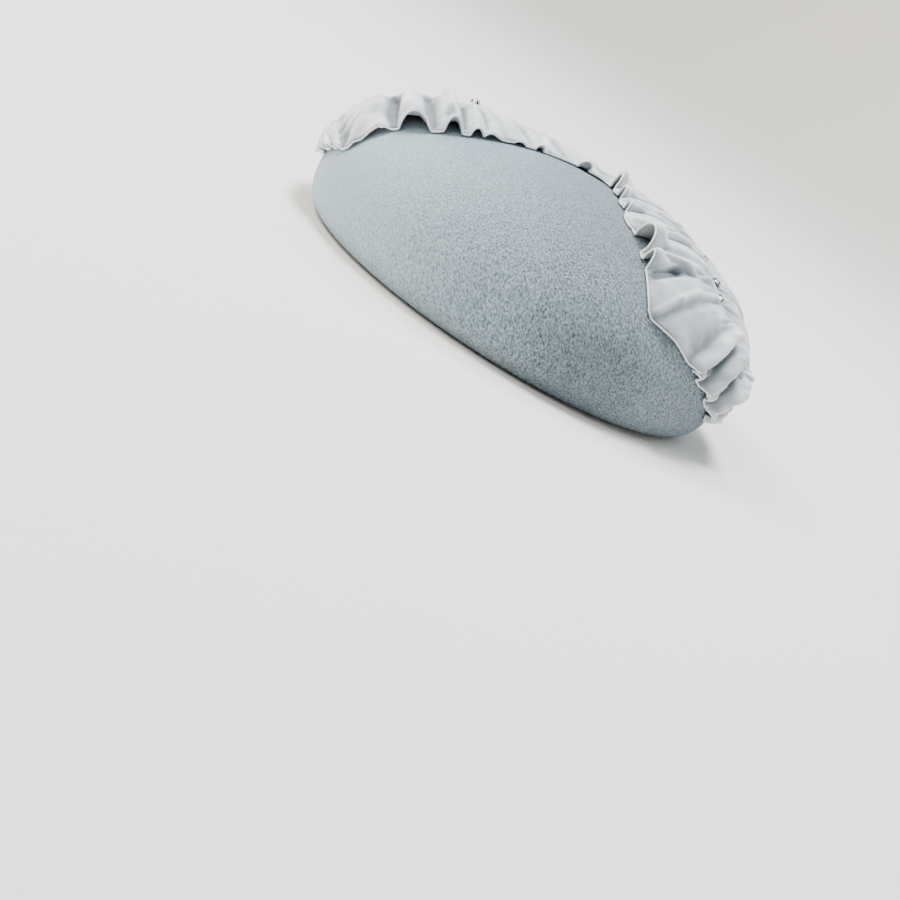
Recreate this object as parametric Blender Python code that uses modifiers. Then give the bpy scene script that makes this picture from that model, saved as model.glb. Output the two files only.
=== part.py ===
# Button hat: a turned felt crown, a ruched velvet ribbon over it and cut crystals along its seam.
# Metres, +Z up. The origin is the centre of the head opening, in the plane that the rim rests on.
import math
from collections import namedtuple

import bmesh
import bpy
from mathutils import Matrix, Vector

# Felt crown
CROWN_RADIUS = 0.090       # at the widest line
CROWN_HEIGHT = 0.063
WIDEST_HEIGHT = 0.0203     # height of the widest line
OPENING_RADIUS = 0.072
RIM_FLAT = 0.004           # width of the flat ring that the hat rests on
FELT_WALL = 0.0025
TOP_FULLNESS = 2.25        # power of the curve above the widest line, where 2 is an ellipse
UNDER_FULLNESS = 2.8       # the same below it
CROWN_STEPS = 64
CROWN_BANDS = 10           # facet rows from the top's centre to the widest line
UNDER_BANDS = 4            # facet rows from there to the flat of the rim

# Velvet ribbon
RIBBON_WALL = 0.0011
RIBBON_GAP = 0.0004        # clear of the felt where it lies closest
SEAM_LIFT = 0.0016         # how high the gathered seam stands over the felt
PUFF_HEIGHT = 0.0046       # how high the cloth bellies between the seam and its edges
PUFF_SKEW = 0.8            # under 1 puts the top of the belly nearer the seam than the edge
FOLD_HEIGHT = 0.0080       # tallest ruffle of the near edge
FOLD_WIDTH = 0.0120        # widest ruffle
FAR_FOLD_HEIGHT = 0.0030   # ruffles of the far edge
FAR_FOLD_COUNT = 15
SEAM_REACH = 0.5           # share of the way to each edge over which the seam's lift fades
RIBBON_COLUMNS = 156
RIBBON_ROWS = 10           # even, so that one row of corners runs along the seam
SHARP_ANGLE = 60           # degrees

# Crystals
STONE_DIAMETER = 0.0036
STONE_HEIGHT = 0.0017
TABLE_SHARE = 0.58         # width of the flat top over the stone's width
CUP_WALL = 0.0004
CUP_HEIGHT = 0.0011
SEAT_GAP = 0.00035         # between the cup and the velvet under it
CLAWS = 4
CLAW_WIDTH = 0.0007
CLAW_THICKNESS = 0.0004
STONE_SIDES = 8
CUP_SIDES = 8
PROBE_RINGS = (0.0, 0.5, 1.0)  # shares of the cup's reach at which the velvet under it is probed

# Finishes: colour, roughness and metallic
FELT_FINISH = ((0.40, 0.45, 0.47), 0.95, 0.0)
VELVET_FINISH = ((0.56, 0.60, 0.61), 0.8, 0.0)
CRYSTAL_FINISH = ((0.85, 0.87, 0.90), 0.1, 0.6)

# Measuring
PROFILE_STEPS = 160        # fine steps that the crown's curve is measured in
LENGTH_STEPS = 1500        # and those that the ribbon's edges are measured in
RUN_STEP = 0.003           # shares of the ribbon's length and half width that directions are read over
ACROSS_STEP = 0.1
MERGE_DISTANCE = 0.00001

# The ribbon is laid out on the crown as on a round map whose radius 1 is the widest line: a spot's
# distance from the middle is its share of the way down the crown, and its direction is the real one.
# run is the share of the ribbon's length, puff a share of PUFF_HEIGHT.
Section = namedtuple("Section", "run near_x near_y seam_x seam_y far_x far_y puff")
SECTIONS = [
    Section(0.00, -1.00, -0.19, -1.04, -0.06, -1.05, 0.07, 0.15),
    Section(0.06, -0.90, -0.33, -0.97, -0.04, -0.98, 0.20, 0.50),
    Section(0.13, -0.81, -0.42, -0.89, -0.02, -0.90, 0.32, 0.85),
    Section(0.22, -0.66, -0.38, -0.75, 0.01, -0.80, 0.43, 1.00),
    Section(0.32, -0.50, -0.35, -0.59, 0.06, -0.64, 0.58, 1.00),
    Section(0.40, -0.34, -0.25, -0.46, 0.15, -0.46, 0.71, 0.90),
    Section(0.48, -0.16, -0.06, -0.29, 0.30, -0.22, 0.83, 0.80),
    Section(0.54, -0.02, 0.10, -0.11, 0.42, 0.04, 0.90, 0.70),
    Section(0.58, 0.07, 0.13, 0.10, 0.46, 0.30, 0.87, 0.75),
    Section(0.63, 0.13, -0.03, 0.31, 0.35, 0.54, 0.75, 0.85),
    Section(0.69, 0.19, -0.25, 0.46, 0.14, 0.74, 0.58, 0.90),
    Section(0.76, 0.30, -0.45, 0.54, -0.07, 0.88, 0.39, 0.95),
    Section(0.81, 0.39, -0.605, 0.60, -0.17, 0.93, 0.29, 0.98),
    Section(0.83, 0.43, -0.65, 0.62, -0.21, 0.95, 0.25, 1.00),
    Section(0.85, 0.475, -0.645, 0.66, -0.205, 0.965, 0.225, 0.98),
    Section(0.89, 0.60, -0.60, 0.75, -0.19, 0.99, 0.17, 0.90),
    Section(0.94, 0.75, -0.53, 0.88, -0.13, 1.02, 0.12, 0.70),
    Section(0.97, 0.87, -0.45, 0.97, -0.10, 1.04, 0.09, 0.50),
    Section(1.00, 1.01, -0.33, 1.06, -0.09, 1.06, 0.07, 0.20),
]

# Ruffles of the near edge: width is a share of FOLD_WIDTH, rise of FOLD_HEIGHT, reach the share of the
# way to the seam that the ruffle runs in, and swell how far its head widens over its foot.
Fold = namedtuple("Fold", "run width rise reach swell")
FOLDS = [
    Fold(0.035, 0.45, 0.30, 0.50, 0.2),
    Fold(0.085, 0.50, 0.30, 0.50, 0.2),
    Fold(0.188, 1.15, 0.40, 0.85, 0.1),
    Fold(0.268, 1.00, 1.08, 0.90, 0.3),
    Fold(0.340, 0.74, 0.98, 0.85, 0.3),
    Fold(0.378, 0.62, 0.62, 0.75, 0.3),
    Fold(0.440, 0.55, 0.30, 0.70, 0.3),
    Fold(0.468, 0.50, 0.40, 0.70, 0.4),
    Fold(0.540, 0.62, 0.70, 0.70, 0.6),
    Fold(0.596, 0.50, 0.45, 0.60, 0.4),
    Fold(0.630, 0.50, 0.60, 0.60, 0.5),
    Fold(0.670, 0.50, 0.50, 0.60, 0.4),
    Fold(0.737, 0.90, 1.15, 0.85, 0.8),
    Fold(0.770, 0.55, 0.60, 0.50, 0.3),
    Fold(0.931, 0.55, 0.35, 0.60, 0.3),
    Fold(0.960, 0.55, 0.45, 0.60, 0.3),
    Fold(0.986, 0.60, 0.55, 0.80, 0.3),
]

# Creases that draw the belly of the cloth down: width is a share of FOLD_WIDTH, depth of the belly
Crease = namedtuple("Crease", "run width depth")
CREASES = [
    Crease(0.120, 0.8, 0.45),
    Crease(0.230, 0.6, 0.55),
    Crease(0.308, 0.6, 0.50),
    Crease(0.360, 0.5, 0.40),
    Crease(0.420, 0.6, 0.35),
    Crease(0.500, 0.8, 0.30),
    Crease(0.570, 0.8, 0.40),
    Crease(0.620, 0.6, 0.40),
    Crease(0.665, 0.6, 0.40),
    Crease(0.708, 0.6, 0.40),
    Crease(0.786, 0.8, 0.45),
    Crease(0.833, 0.7, 0.35),
    Crease(0.905, 0.7, 0.35),
    Crease(0.945, 0.6, 0.40),
    Crease(0.972, 0.6, 0.40),
]

# Places of the crystals along the seam, as shares of the ribbon's length, and their side shifts as
# shares of the ribbon's half width
Crystal = namedtuple("Crystal", "run across")
CRYSTALS = [
    Crystal(0.395, 0.00),
    Crystal(0.500, 0.22),
    Crystal(0.610, 0.24),
    Crystal(0.710, 0.00),
    Crystal(0.780, -0.03),
    Crystal(0.815, 0.02),
]


def clear_scene():
    for thing in list(bpy.data.objects):
        bpy.data.objects.remove(thing, do_unlink=True)


def make_material(name, color, roughness, metallic):
    material = bpy.data.materials.new(name)
    material.use_nodes = True
    shader = material.node_tree.nodes["Principled BSDF"]
    shader.inputs["Base Color"].default_value = (*color, 1.0)
    shader.inputs["Roughness"].default_value = roughness
    shader.inputs["Metallic"].default_value = metallic
    return material


def arc(radius_in, height_in, radius_out, height_out, fullness, steps):
    """Quarter of a superellipse as (radius, height) spots, from the inner end to the outer end."""
    spots = []
    for step in range(steps + 1):
        turn = math.pi / 2 * step / steps
        across = math.sin(turn) ** (2 / fullness)
        down = 1 - max(math.cos(turn), 0.0) ** (2 / fullness)
        radius = radius_in + (radius_out - radius_in) * across
        spots.append((radius, height_in + (height_out - height_in) * down))
    return spots


def crown_curve():
    """The crown's outer curve as rows of (share, radius, height), where share 1 is the widest line."""
    top = arc(0.0, CROWN_HEIGHT, CROWN_RADIUS, WIDEST_HEIGHT, TOP_FULLNESS, PROFILE_STEPS)
    under = arc(OPENING_RADIUS + RIM_FLAT, 0.0, CROWN_RADIUS, WIDEST_HEIGHT, UNDER_FULLNESS, PROFILE_STEPS)
    spots = top + under[::-1][1:]
    lengths = [0.0]
    for before, after in zip(spots, spots[1:]):
        lengths.append(lengths[-1] + math.dist(before, after))
    scale = lengths[PROFILE_STEPS]
    return [(length / scale, *spot) for length, spot in zip(lengths, spots)]


CURVE = crown_curve()


def curve_spot(share):
    """Radius, height and outward direction of the crown's curve at a share of the way down."""
    last = len(CURVE) - 1
    upper = next((i for i in range(1, last) if CURVE[i][0] >= share), last)
    share_a, radius_a, height_a = CURVE[upper - 1]
    share_b, radius_b, height_b = CURVE[upper]
    part = (share - share_a) / (share_b - share_a)
    out = Vector((height_a - height_b, radius_b - radius_a)).normalized()
    return radius_a + (radius_b - radius_a) * part, height_a + (height_b - height_a) * part, out


def crown_point(x_share, y_share, lift):
    """Point over the crown at a spot of the round map, lifted off the felt along its normal."""
    radius, height, out = curve_spot(math.hypot(x_share, y_share))
    turn = math.atan2(y_share, x_share)
    radius += lift * out.x
    return Vector((radius * math.cos(turn), radius * math.sin(turn), height + lift * out.y))


def section_at(run):
    """Section of the ribbon at a share of its length, on a smooth curve through the table's rows."""
    last = len(SECTIONS) - 1
    upper = next((i for i in range(1, last) if SECTIONS[i].run >= run), last)
    one, two = SECTIONS[upper - 1], SECTIONS[upper]
    before, after = SECTIONS[max(upper - 2, 0)], SECTIONS[min(upper + 1, last)]
    span = two.run - one.run
    part = (run - one.run) / span
    values = [run]
    for a, b, c, d in zip(before[1:], one[1:], two[1:], after[1:]):
        slope_b = (c - a) / (two.run - before.run) * span
        slope_c = (d - b) / (after.run - one.run) * span
        values.append(
            (2 * part**3 - 3 * part**2 + 1) * b + (part**3 - 2 * part**2 + part) * slope_b
            + (3 * part**2 - 2 * part**3) * c + (part**3 - part**2) * slope_c
        )
    return Section(*values)


def smooth(value):
    value = min(max(value, 0.0), 1.0)
    return value * value * (3 - 2 * value)


def near_lengths():
    """How far along the ribbon's near edge each share of its length lies, as (run, metres) rows."""
    rows = [(0.0, 0.0)]
    before = None
    for step in range(LENGTH_STEPS + 1):
        section = section_at(step / LENGTH_STEPS)
        spot = crown_point(section.near_x, section.near_y, 0.0)
        if before is not None:
            rows.append((step / LENGTH_STEPS, rows[-1][1] + (spot - before).length))
        before = spot
    return rows


NEAR_LENGTHS = near_lengths()


def near_length(run):
    place = min(max(run, 0.0), 1.0) * (len(NEAR_LENGTHS) - 1)
    lower = min(int(place), len(NEAR_LENGTHS) - 2)
    length_a, length_b = NEAR_LENGTHS[lower][1], NEAR_LENGTHS[lower + 1][1]
    return length_a + (length_b - length_a) * (place - lower)


def near_ruffle(run, depth):
    """Rise off the felt and shift along the edge at a depth of 1 on the near edge and 0 on the seam."""
    rise = shift = 0.0
    for fold in FOLDS:
        half_width = fold.width * FOLD_WIDTH / 2
        place = (near_length(run) - near_length(fold.run)) / half_width
        if abs(place) >= 1:
            continue
        strength = smooth((depth - 1 + fold.reach) / fold.reach)
        rise += fold.rise * FOLD_HEIGHT * strength * (1 + math.cos(math.pi * place)) / 2
        shift += fold.swell * half_width * strength * math.sin(math.pi * place) / 2
    return rise, shift


def far_ruffle(run, depth):
    wave = (1 - math.cos(2 * math.pi * FAR_FOLD_COUNT * run)) / 2
    return FAR_FOLD_HEIGHT * smooth(depth) * wave, 0.0


def belly(run):
    """Share of the belly that the creases leave at a share of the ribbon's length."""
    left = 1.0
    for crease in CREASES:
        place = (near_length(run) - near_length(crease.run)) / (crease.width * FOLD_WIDTH / 2)
        if abs(place) < 1:
            left -= crease.depth * (1 + math.cos(math.pi * place)) / 2
    return max(left, 0.0)


def smooth_cloth_point(run, across):
    """Point of the ribbon's middle layer before its ruffles; across is -1 near, 0 seam, 1 far."""
    section = section_at(run)
    depth = abs(across)
    edge_x, edge_y = (section.near_x, section.near_y) if across < 0 else (section.far_x, section.far_y)
    x_share = section.seam_x + (edge_x - section.seam_x) * depth
    y_share = section.seam_y + (edge_y - section.seam_y) * depth
    lift = RIBBON_WALL / 2 + RIBBON_GAP
    lift += SEAM_LIFT * (1 - smooth(depth / SEAM_REACH))
    lift += section.puff * PUFF_HEIGHT * belly(run) * math.sin(math.pi * depth**PUFF_SKEW)
    return x_share, y_share, lift


def ribbon_point(run, across):
    x_share, y_share, lift = smooth_cloth_point(run, across)
    rise, shift = near_ruffle(run, -across) if across < 0 else far_ruffle(run, across)
    point = crown_point(x_share, y_share, lift + rise)
    if shift:
        ahead = crown_point(*smooth_cloth_point(min(run + RUN_STEP, 1.0), across))
        behind = crown_point(*smooth_cloth_point(max(run - RUN_STEP, 0.0), across))
        point += (ahead - behind).normalized() * shift
    return point


def add_to(collection, name, mesh, material):
    mesh.materials.append(material)
    thing = bpy.data.objects.new(name, mesh)
    collection.objects.link(thing)
    return thing


def add_solidify(thing, thickness, offset, even):
    wall = thing.modifiers.new("Wall", "SOLIDIFY")
    wall.thickness = thickness
    wall.offset = offset
    wall.use_even_offset = even
    wall.use_quality_normals = True


def make_crown(collection, material):
    last_share = CURVE[-1][0]
    shares = [band / CROWN_BANDS for band in range(CROWN_BANDS + 1)]
    shares += [1 + (last_share - 1) * band / UNDER_BANDS for band in range(1, UNDER_BANDS + 1)]
    outline = [curve_spot(share)[:2] for share in shares] + [(OPENING_RADIUS, 0.0)]
    profile = bmesh.new()
    spots = [profile.verts.new((radius, 0.0, height)) for radius, height in outline]
    for one, two in zip(spots, spots[1:]):
        profile.edges.new((one, two))
    mesh = bpy.data.meshes.new("crown")
    profile.to_mesh(mesh)
    profile.free()
    crown = add_to(collection, "crown", mesh, material)
    turned = crown.modifiers.new("Turned", "SCREW")
    turned.steps = CROWN_STEPS
    turned.render_steps = CROWN_STEPS
    turned.use_merge_vertices = True
    turned.merge_threshold = MERGE_DISTANCE
    turned.use_smooth_shade = True
    add_solidify(crown, FELT_WALL, offset=-1, even=True)
    return crown


def column_runs():
    """Shares of the ribbon's length that lie evenly spaced along its ruffled near edge."""
    lengths = [0.0]
    before = ribbon_point(0.0, -1.0)
    for step in range(1, LENGTH_STEPS + 1):
        spot = ribbon_point(step / LENGTH_STEPS, -1.0)
        lengths.append(lengths[-1] + (spot - before).length)
        before = spot
    runs = []
    step = 0
    for column in range(RIBBON_COLUMNS + 1):
        wanted = lengths[-1] * column / RIBBON_COLUMNS
        while step < LENGTH_STEPS - 1 and lengths[step + 1] < wanted:
            step += 1
        part = (wanted - lengths[step]) / (lengths[step + 1] - lengths[step])
        runs.append((step + part) / LENGTH_STEPS)
    return runs


def make_ribbon(collection, material):
    runs = column_runs()
    sheet = bmesh.new()
    bmesh.ops.create_grid(sheet, x_segments=RIBBON_COLUMNS, y_segments=RIBBON_ROWS, size=1.0)
    for spot in sheet.verts:
        column = round((spot.co.x + 1) / 2 * RIBBON_COLUMNS)
        spot.co = ribbon_point(runs[column], spot.co.y)
    bmesh.ops.recalc_face_normals(sheet, faces=sheet.faces)
    mesh = bpy.data.meshes.new("ribbon")
    sheet.to_mesh(mesh)
    sheet.free()
    mesh.shade_smooth()
    mesh.set_sharp_from_angle(angle=math.radians(SHARP_ANGLE))
    ribbon = add_to(collection, "ribbon", mesh, material)
    add_solidify(ribbon, RIBBON_WALL, offset=0, even=False)
    return ribbon


def fused(name, bodies, cutters):
    """One mesh from closed bodies that reach into each other."""
    things = []
    for number, body in enumerate(bodies):
        mesh = bpy.data.meshes.new(f"{name}_{number}")
        body.to_mesh(mesh)
        body.free()
        things.append(bpy.data.objects.new(mesh.name, mesh))
        cutters.objects.link(things[-1])
    for other in things[1:]:
        join = things[0].modifiers.new("Join", "BOOLEAN")
        join.operation = "UNION"
        join.object = other
    bpy.context.view_layer.update()
    whole = things[0].evaluated_get(bpy.context.evaluated_depsgraph_get())
    mesh = bpy.data.meshes.new_from_object(whole)
    mesh.name = name
    for thing in things:
        bpy.data.objects.remove(thing, do_unlink=True)
    return mesh


def make_crystal_mesh(cutters):
    """A cut stone held by four claws of its cup, standing on the cup's flat bottom at the origin."""
    radius = STONE_DIAMETER / 2
    cup = bmesh.new()
    bmesh.ops.create_cone(
        cup, cap_ends=True, segments=CUP_SIDES, radius1=radius, radius2=radius + CUP_WALL,
        depth=CUP_HEIGHT, matrix=Matrix.Translation((0, 0, CUP_HEIGHT / 2)),
    )
    stone = bmesh.new()
    foot = CUP_HEIGHT / 2
    bmesh.ops.create_cone(
        stone, cap_ends=True, segments=STONE_SIDES, radius1=radius, radius2=radius * TABLE_SHARE,
        depth=STONE_HEIGHT, matrix=Matrix.Translation((0, 0, foot + STONE_HEIGHT / 2)),
    )
    bodies = [cup, stone]
    claw_reach = radius * (1 + TABLE_SHARE) / 2 + CLAW_THICKNESS / 2
    for number in range(CLAWS):
        claw = bmesh.new()
        bmesh.ops.create_cube(claw, size=1.0)
        size = Matrix.Diagonal((CLAW_THICKNESS, CLAW_WIDTH, STONE_HEIGHT, 1.0))
        lean = Matrix.Rotation(-math.atan2(radius * (1 - TABLE_SHARE), STONE_HEIGHT), 4, "Y")
        place = Matrix.Translation((claw_reach, 0, foot + STONE_HEIGHT / 2))
        turn = Matrix.Rotation(math.tau * (number / CLAWS + 0.5 / STONE_SIDES), 4, "Z")
        claw.transform(turn @ place @ lean @ size)
        bodies.append(claw)
    return fused("crystal", bodies, cutters)


def seat_crystal(crystal, ribbon, spot):
    """Stands a crystal on the ribbon, clear of the highest velvet that its cup covers."""
    here = ribbon_point(spot.run, spot.across)
    along = ribbon_point(spot.run + RUN_STEP, spot.across) - ribbon_point(spot.run - RUN_STEP, spot.across)
    over = ribbon_point(spot.run, spot.across + ACROSS_STEP)
    over -= ribbon_point(spot.run, spot.across - ACROSS_STEP)
    up = along.cross(over).normalized()
    if up.dot(here) < 0:
        up = -up
    turn = up.to_track_quat("Z", "Y")
    reach = STONE_DIAMETER / 2 + CUP_WALL
    sky = FOLD_HEIGHT
    top = 0.0
    for ring in PROBE_RINGS:
        for side in range(CUP_SIDES):
            angle = math.tau * side / CUP_SIDES
            aside = turn @ Vector((ring * reach * math.cos(angle), ring * reach * math.sin(angle), 0.0))
            found, place, _, _ = ribbon.ray_cast(here + aside + up * sky, -up, distance=2 * sky)
            if found:
                top = max(top, (place - here).dot(up))
    crystal.location = here + up * (top + SEAT_GAP)
    crystal.rotation_mode = "QUATERNION"
    crystal.rotation_quaternion = turn


def main():
    clear_scene()
    parts = bpy.data.collections.new("button_hat")
    cutters = bpy.data.collections.new("button_hat_cutters")
    for collection in (parts, cutters):
        bpy.context.scene.collection.children.link(collection)
    felt = make_material("wool felt", *FELT_FINISH)
    velvet = make_material("silver velvet", *VELVET_FINISH)
    crystal_glass = make_material("cut crystal in a metal cup", *CRYSTAL_FINISH)
    make_crown(parts, felt)
    ribbon = make_ribbon(parts, velvet)
    bpy.context.view_layer.update()
    cloth = ribbon.evaluated_get(bpy.context.evaluated_depsgraph_get())
    mesh = make_crystal_mesh(cutters)
    mesh.materials.clear()
    mesh.materials.append(crystal_glass)
    for number, spot in enumerate(CRYSTALS, start=1):
        crystal = bpy.data.objects.new(f"crystal_{number}", mesh)
        parts.objects.link(crystal)
        seat_crystal(crystal, cloth, spot)


main()
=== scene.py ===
import math
from bisect import bisect_left
from collections import namedtuple
from functools import lru_cache

import bmesh
import bpy
import numpy as np
from mathutils import Matrix, Vector, noise


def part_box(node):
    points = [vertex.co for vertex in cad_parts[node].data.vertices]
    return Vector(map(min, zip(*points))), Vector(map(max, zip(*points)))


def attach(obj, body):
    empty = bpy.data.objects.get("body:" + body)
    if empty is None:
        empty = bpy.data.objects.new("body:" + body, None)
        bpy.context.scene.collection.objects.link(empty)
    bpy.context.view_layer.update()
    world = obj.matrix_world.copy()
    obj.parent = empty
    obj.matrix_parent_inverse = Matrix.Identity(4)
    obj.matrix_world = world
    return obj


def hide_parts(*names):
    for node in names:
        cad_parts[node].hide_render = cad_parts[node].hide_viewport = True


# Button hat: blocked felt crown, ruched velvet ribbon and cut crystals along its seam.
# Metres, +Z up, in the frame's own place: the rim rests on z = 0.
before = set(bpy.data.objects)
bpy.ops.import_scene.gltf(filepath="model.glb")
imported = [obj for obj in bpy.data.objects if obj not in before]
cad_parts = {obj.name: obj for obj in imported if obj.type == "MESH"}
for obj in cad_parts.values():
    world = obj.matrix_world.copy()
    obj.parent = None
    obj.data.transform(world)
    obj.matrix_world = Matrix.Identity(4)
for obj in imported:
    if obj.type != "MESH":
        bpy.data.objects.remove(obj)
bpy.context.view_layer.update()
print("frame loaded:", sorted(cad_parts))


# Materials

def hexColor(code):
    # sRGB hex to the linear colour that the shaders work in
    parts = [int(code[i:i + 2], 16) / 255 for i in (1, 3, 5)]
    linear = [p / 12.92 if p <= 0.04045 else ((p + 0.055) / 1.055) ** 2.4 for p in parts]
    return (*linear, 1.0)


def perMetre(millimetres):
    # Noise scale that gives features of this size on Object coordinates in metres
    return 1000 / millimetres


def addNode(tree, kind, settings=None, links=None):
    # Adds a node, sets its properties, colour stops and input values, and links other nodes' outputs to it
    node = tree.nodes.new(kind)
    for name, value in (settings or {}).items():
        if name == "stops":
            elements = node.color_ramp.elements
            while len(elements) < len(value):
                elements.new(0.5)
            for element, (place, code) in zip(elements, value):
                element.position = place
                element.color = hexColor(code)
        elif name in node.inputs:
            node.inputs[name].default_value = value
        else:
            setattr(node, name, value)
    for name, source in (links or {}).items():
        tree.links.new(source, node.inputs[name])
    return node


def newMaterial(name):
    material = bpy.data.materials.new(name)
    material.use_nodes = True
    tree = material.node_tree
    tree.nodes.clear()
    return material, tree


def finishMaterial(tree, settings, links):
    shader = addNode(tree, "ShaderNodeBsdfPrincipled", settings, links)
    addNode(tree, "ShaderNodeOutputMaterial", links={"Surface": shader.outputs[0]})


feltLook = {
    "base": "#98ACB6",
    # light and dark: the nap's tone, the fibres' own mottle with painted light on its tops and painted shade
    # in its pits
    "light": "#C5D5DD",
    "dark": "#566975",
    "strokeMm": 0.62,
    "strokeLength": 1.8,     # times its width
    "strokeTurn": -33,       # degrees that the strokes lean from upright
    "fibreMm": 0.4,
    "fibreShare": 0.3,       # of the nap's tone and relief, and the rest is the strokes'
    "cloud": "#F3F5F6",      # times the felt's tone where the slow clouds are darkest
    "cloudMm": 38,
    "napDepthMm": 3.0,
    "flatX": -0.075,         # the nap is brushed flat at this x
    "fullX": 0.015,          # and stands up fully from here on
    "flatNap": 0.25,         # share of the strokes that is left where it is flat
    "paintedShadeAt": (0.038, -0.081, 0.014),  # painted shade: the felt is darkened round this spot on the side, where it turns from the light
    "paintedShadeMm": 38,
    "paintedShadeTone": "#D2D7DB",     # painted shade, times the felt's tone
}


def woolFelt():
    # Blocked and brushed wool felt: matt, with short curled strokes of nap about half a millimetre wide
    # that catch the light as a fine relief, partly painted as shade in their pits and light on their tops;
    # slow changes of tone where it was brushed, and painted shade round one spot on the side
    look = feltLook
    material, tree = newMaterial("wool felt, blocked and brushed")
    place = addNode(tree, "ShaderNodeTexCoord").outputs["Object"]
    brushed = addNode(
        tree, "ShaderNodeMapping",
        {
            "vector_type": "TEXTURE", "Rotation": (0, math.radians(look["strokeTurn"]), 0),
            "Scale": (1.0, 1.0, look["strokeLength"]),
        },
        {"Vector": place},
    ).outputs[0]
    side = addNode(tree, "ShaderNodeSeparateXYZ", links={"Vector": place})
    stand = addNode(
        tree, "ShaderNodeMapRange",
        {"From Min": look["flatX"], "From Max": look["fullX"], "To Min": look["flatNap"], "To Max": 1.0},
        {"Value": side.outputs["X"]},
    ).outputs["Result"]
    cloud = addNode(
        tree, "ShaderNodeTexNoise", {"Scale": perMetre(look["cloudMm"]), "Detail": 3.0}, {"Vector": place},
    )
    stroke = addNode(
        tree, "ShaderNodeTexNoise",
        {"Scale": perMetre(look["strokeMm"]), "Detail": 0.0, "Distortion": 0.5},
        {"Vector": brushed},
    )
    fibre = addNode(
        tree, "ShaderNodeTexNoise",
        {"Scale": perMetre(look["fibreMm"]), "Detail": 2.0, "Roughness": 0.6, "Distortion": 1.5},
        {"Vector": brushed},
    )
    nap = addNode(
        tree, "ShaderNodeMix", {"data_type": "FLOAT", "Factor": look["fibreShare"]},
        {"A": stroke.outputs["Fac"], "B": fibre.outputs["Fac"]},
    )
    # The nap's tone follows its relief: the fibres' own mottle, with painted shade in the pits and painted
    # light on the tops
    tone = addNode(
        tree, "ShaderNodeValToRGB",
        {"stops": [(0.3, look["dark"]), (0.5, look["base"]), (0.7, look["light"])]},
        {"Fac": nap.outputs["Result"]},
    )
    strokes = addNode(
        tree, "ShaderNodeMix", {"data_type": "RGBA", "A": hexColor(look["base"])},
        {"Factor": stand, "B": tone.outputs["Color"]},
    )
    shade = addNode(
        tree, "ShaderNodeValToRGB", {"stops": [(0.3, look["cloud"]), (0.7, "#FFFFFF")]},
        {"Fac": cloud.outputs["Fac"]},
    )
    color = addNode(
        tree, "ShaderNodeMix", {"data_type": "RGBA", "blend_type": "MULTIPLY", "Factor": 1.0},
        {"A": strokes.outputs["Result"], "B": shade.outputs["Color"]},
    )
    # Painted shade: a soft dark patch round one spot on the lower right side, where the crown turns away from
    # the light
    spot = addNode(
        tree, "ShaderNodeMapping",
        {"vector_type": "TEXTURE", "Location": look["paintedShadeAt"], "Scale": (look["paintedShadeMm"] / 1000,) * 3},
        {"Vector": place},
    ).outputs[0]
    paintedShadeGradient = addNode(tree, "ShaderNodeTexGradient", {"gradient_type": "SPHERICAL"}, {"Vector": spot})
    paintedShadeAmount = addNode(
        tree, "ShaderNodeMapRange", {"interpolation_type": "SMOOTHSTEP", "From Max": 0.8},
        {"Value": paintedShadeGradient.outputs["Fac"]},
    )
    paintedShadeTone = addNode(
        tree, "ShaderNodeMix", {"data_type": "RGBA", "blend_type": "MULTIPLY", "B": hexColor(look["paintedShadeTone"])},
        {"Factor": paintedShadeAmount.outputs["Result"], "A": color.outputs["Result"]},
    )
    relief = addNode(
        tree, "ShaderNodeBump", {"Distance": look["napDepthMm"] / 1000},
        {"Strength": stand, "Height": nap.outputs["Result"]},
    )
    finishMaterial(
        tree,
        {"Roughness": 0.95, "Specular IOR Level": 0.15, "Sheen Weight": 0.3, "Sheen Roughness": 0.5},
        {"Base Color": paintedShadeTone.outputs["Result"], "Normal": relief.outputs["Normal"]},
    )
    return material


velvetLook = {
    "facing": "#9EA8AD",     # painted sheen: the pile's tone seen straight along it, darker
    "paintedSheenRim": "#F1F3F2",    # painted sheen: its tone seen across it, paler
    "brushedDark": "#DFE2E3",
    "paintedHollowShade": "#838B90",     # these three times the pile's tone, as painted shade and light: where a fold is pressed down,
    "level": "#E2E6E8",      # on the level
    "crest": "#FFFFFF",      # and where a fold stands up
    "ridgeReachMm": 5.0,     # from the deepest hollow's tone to the highest ridge's
    "creaseShare": 0.6,      # how much the creases in the puff count as hollows in the painted shade
    "brushMm": 14,
    "tuftMm": 0.5,           # several real tufts, which are too fine to show
    "pileDepthMm": 0.2,
    "sheen": "#F4F8FA",
}


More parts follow.
